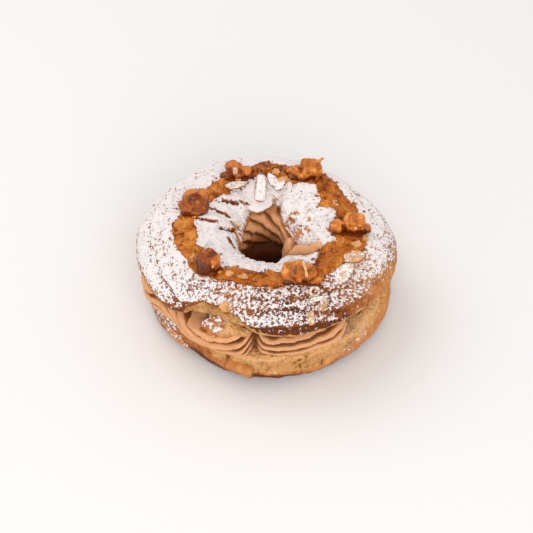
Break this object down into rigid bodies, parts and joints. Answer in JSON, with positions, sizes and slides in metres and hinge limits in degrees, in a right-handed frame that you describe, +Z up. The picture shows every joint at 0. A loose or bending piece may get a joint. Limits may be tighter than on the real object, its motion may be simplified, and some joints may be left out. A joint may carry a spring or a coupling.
{
  "type": "paris-brest pastry",
  "caption": "Ring of choux pastry cut in two and filled with piped praline cream, its lid dusted with icing sugar and topped with flaked almonds, a praline band and candied nuts.",
  "frame": {"origin": "middle of the pastry's box, at the surface that it stands on", "axes": "+Z up, along the ring's axis; -Y towards the side that shows the most filling"},
  "size_m": [0.1234, 0.114, 0.0603],
  "materials": {
    "base_choux": "matte, porous golden crumb with a browned crust",
    "cream": "soft satin piped cream",
    "lid_choux": "matte browned crust dusted with white icing sugar",
    "praline": "satin, fine-grained praline",
    "candied_nut": "glossy caramel",
    "flaked_almond": "satin toasted almond with a browned edge",
    "icing_sugar": "matte white powder"
  },
  "bodies": {
    "root": {"choux_base": "base_choux", "praline_cream": "cream", "choux_lid": "lid_choux", "praline_band": "praline", "nut_left": "candied_nut", "nut_back_left": "candied_nut", "nut_back_right": "candied_nut", "nut_right": "candied_nut", "nut_front": "candied_nut", "nut_front_left": "candied_nut"}
  },
  "joints": []
}
